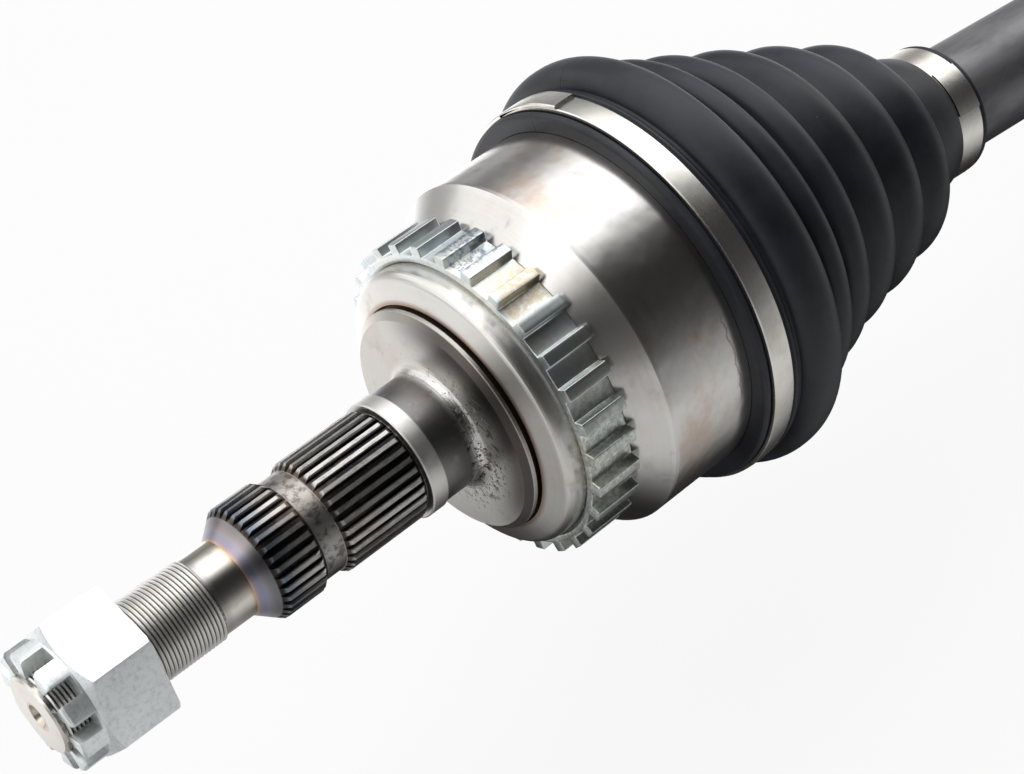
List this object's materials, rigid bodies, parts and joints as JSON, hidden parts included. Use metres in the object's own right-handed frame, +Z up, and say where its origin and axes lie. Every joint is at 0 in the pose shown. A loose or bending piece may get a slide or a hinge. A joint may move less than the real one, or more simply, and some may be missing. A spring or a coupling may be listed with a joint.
{
  "type": "drive shaft",
  "caption": "Front-wheel drive shaft: a splined stub with a slotted nut, a fixed ball joint with tone ring and boot, a bar, and a plunging tripod joint with a splined gearbox stub.",
  "frame": {"origin": "where the stub's axis meets the flat hub shoulder of the outer joint", "axes": "+X runs inboard along the hub stub, +Z up; the bar droops 8.15 degrees from X at the outer joint"},
  "size_m": [0.6474, 0.1068, 0.15],
  "materials": {
    "turned_steel": "turned and ground steel, bright, with a thin film of oil",
    "zinc_plate": "zinc plated, pale blue-grey",
    "bright_zinc": "bright zinc plated, cool",
    "ground_steel": "ground and greased",
    "dark_steel": "hardened, dark",
    "spring_steel": "phosphated spring steel",
    "painted_bar": "satin dark grey paint with light scratches",
    "boot_rubber": "moulded thermoplastic rubber, satin blue-black",
    "clamp_steel": "polished stainless band",
    "ball_steel": "polished bearing steel"
  },
  "bodies": {
    "shaft": {"axle_bar": "painted_bar", "inner_race": "ground_steel", "race_circlip": "spring_steel", "spider": "ground_steel", "spider_circlip": "spring_steel", "needle_rollers": "ball_steel", "roller_retainers": "spring_steel", "outer_boot_clamp_small": "clamp_steel", "inner_boot": "boot_rubber", "inner_boot_clamp_small": "clamp_steel"},
    "hub_end": {"outer_race": "turned_steel", "abs_ring": "bright_zinc", "outer_boot": "boot_rubber", "outer_boot_clamp_large": "clamp_steel"},
    "nut": {"hub_nut": "zinc_plate"},
    "cage": {"ball_cage": "dark_steel"},
    "ball_1": {"ball_1": "ball_steel"},
    "ball_2": {"ball_2": "ball_steel"},
    "ball_3": {"ball_3": "ball_steel"},
    "ball_4": {"ball_4": "ball_steel"},
    "ball_5": {"ball_5": "ball_steel"},
    "ball_6": {"ball_6": "ball_steel"},
    "roller_1": {"roller_1": "ground_steel"},
    "roller_2": {"roller_2": "ground_steel"},
    "roller_3": {"roller_3": "ground_steel"},
    "tulip": {"tulip": "turned_steel", "inner_boot_clamp_large": "clamp_steel", "stub_circlip": "spring_steel"}
  },
  "joints": [
    {"name": "outer_bend", "type": "hinge", "parent": "shaft", "child": "hub_end", "pos_m": [0.0517, 0, 0], "axis": [0, 1, 0], "range_deg": [-36.85, 53.15], "deforming": ["outer_boot"]},
    {"name": "cage_bend", "type": "hinge", "parent": "shaft", "child": "cage", "pos_m": [0.0517, 0, 0], "axis": [0, 1, 0], "range_deg": [-18.6, 26.7]},
    {"name": "ball_1_shift", "type": "slide", "parent": "cage", "child": "ball_1", "axis": [0.0711, 0, 0.9975], "range_m": [-0.002, 0.002]},
    {"name": "ball_2_shift", "type": "slide", "parent": "cage", "child": "ball_2", "axis": [0.0355, -0.866, 0.4987], "range_m": [-0.002, 0.002]},
    {"name": "ball_3_shift", "type": "slide", "parent": "cage", "child": "ball_3", "axis": [-0.0355, -0.866, -0.4987], "range_m": [-0.002, 0.002]},
    {"name": "ball_4_shift", "type": "slide", "parent": "cage", "child": "ball_4", "axis": [-0.0711, 0, -0.9975], "range_m": [-0.002, 0.002]},
    {"name": "ball_5_shift", "type": "slide", "parent": "cage", "child": "ball_5", "axis": [-0.0355, 0.866, -0.4987], "range_m": [-0.002, 0.002]},
    {"name": "ball_6_shift", "type": "slide", "parent": "cage", "child": "ball_6", "axis": [0.0355, 0.866, 0.4987], "range_m": [-0.002, 0.002]},
    {"name": "nut_off", "type": "slide", "parent": "hub_end", "child": "nut", "axis": [-1, 0, 0], "range_m": [-0.019, 0.06]},
    {"name": "inner_tilt", "type": "hinge", "parent": "shaft", "child": "roller_1", "pos_m": [0.37837, 0, -0.04678], "axis": [0, 1, 0], "range_deg": [-15, 15], "deforming": ["inner_boot"]},
    {"name": "inner_plunge", "type": "slide", "parent": "roller_1", "child": "tulip", "axis": [0.9899, 0, -0.1418], "range_m": [-0.02, 0.02], "deforming": ["inner_boot"]},
    {"name": "roller_2_spin", "type": "hinge", "parent": "shaft", "child": "roller_2", "pos_m": [0.37837, 0, -0.04678], "axis": [0.1228, -0.5, 0.8573], "range_deg": [-80, 80]},
    {"name": "roller_3_spin", "type": "hinge", "parent": "shaft", "child": "roller_3", "pos_m": [0.37837, 0, -0.04678], "axis": [-0.1228, -0.5, -0.8573], "range_deg": [-80, 80]}
  ],
  "couplings": [
    {"joint": "cage_bend", "follows": "outer_bend", "ratio": 0.5},
    {"joint": "ball_1_shift", "follows": "outer_bend", "m_per_rad": -0.00196},
    {"joint": "ball_2_shift", "follows": "outer_bend", "m_per_rad": -0.00098},
    {"joint": "ball_3_shift", "follows": "outer_bend", "m_per_rad": 0.00098},
    {"joint": "ball_4_shift", "follows": "outer_bend", "m_per_rad": 0.00196},
    {"joint": "ball_5_shift", "follows": "outer_bend", "m_per_rad": 0.00098},
    {"joint": "ball_6_shift", "follows": "outer_bend", "m_per_rad": -0.00098},
    {"joint": "roller_2_spin", "follows": "inner_plunge", "rad_per_m": 62.5},
    {"joint": "roller_3_spin", "follows": "inner_plunge", "rad_per_m": 62.5}
  ]
}
